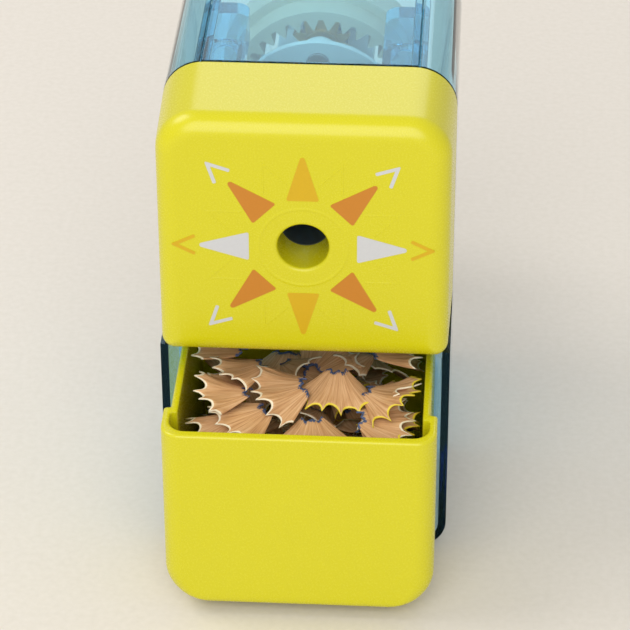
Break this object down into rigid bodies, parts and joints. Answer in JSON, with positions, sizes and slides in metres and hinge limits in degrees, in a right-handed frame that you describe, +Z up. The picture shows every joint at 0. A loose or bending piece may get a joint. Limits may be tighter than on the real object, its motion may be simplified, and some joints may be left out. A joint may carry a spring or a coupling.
{
  "type": "pencil sharpener",
  "caption": "Hand-crank desk pencil sharpener: block-shaped clear housing, opaque front cover with a pencil hole, planetary helical cutter and a pull-out shavings drawer.",
  "frame": {"origin": "middle of the underside of the base pad, which rests on the table", "axes": "+Z up, -Y out of the pencil hole towards the user, +Y towards the crank, X across"},
  "size_m": [0.058, 0.1357, 0.1035],
  "materials": {
    "clear_blue": "clear tinted polystyrene, gloss",
    "cover_yellow": "satin gloss",
    "zinc_steel": "zinc plated",
    "bright_steel": "ground bright",
    "cutter_steel": "hardened and ground",
    "gear_brass": "cut brass",
    "gear_acetal": "satin",
    "white_acetal": "satin",
    "arm_plastic": "satin gloss",
    "pad_rubber": "matt foam rubber"
  },
  "bodies": {
    "body": {"housing_shell": "clear_blue", "top_panel": "clear_blue", "front_cover": "cover_yellow", "front_frame": "clear_blue", "cover_screws": "zinc_steel", "ring_gear": "gear_acetal", "gear_screws": "zinc_steel", "rear_bush": "white_acetal", "base_pad": "pad_rubber"},
    "drawer": {"drawer": "cover_yellow"},
    "crank": {"cutter_carrier": "white_acetal", "cutter_axle": "bright_steel", "axle_retainer": "zinc_steel", "crank_shaft": "bright_steel", "thrust_washer": "zinc_steel", "crank_arm": "arm_plastic", "crank_screw": "zinc_steel", "knob_pin": "bright_steel"},
    "cutter": {"cutter_pinion": "gear_brass", "helical_cutter": "cutter_steel"},
    "knob": {"crank_knob": "cover_yellow", "knob_cap": "cover_yellow"}
  },
  "joints": [
    {"name": "drawer_slide", "type": "slide", "parent": "body", "child": "drawer", "axis": [0, -1, 0], "range_m": [-0.022, 0.04]},
    {"name": "crank_turn", "type": "hinge", "parent": "body", "child": "crank", "pos_m": [0, 0.05, 0.0755], "axis": [0, 1, 0], "continuous": true},
    {"name": "cutter_spin", "type": "hinge", "parent": "crank", "child": "cutter", "pos_m": [0, 0.0225, 0.08547], "axis": [0, 0.9799, -0.1994], "continuous": true},
    {"name": "knob_turn", "type": "hinge", "parent": "crank", "child": "knob", "pos_m": [0, 0.065, 0.0415], "axis": [0, 1, 0], "continuous": true}
  ],
  "couplings": [
    {"joint": "cutter_spin", "follows": "crank_turn", "ratio": -2.7273}
  ]
}
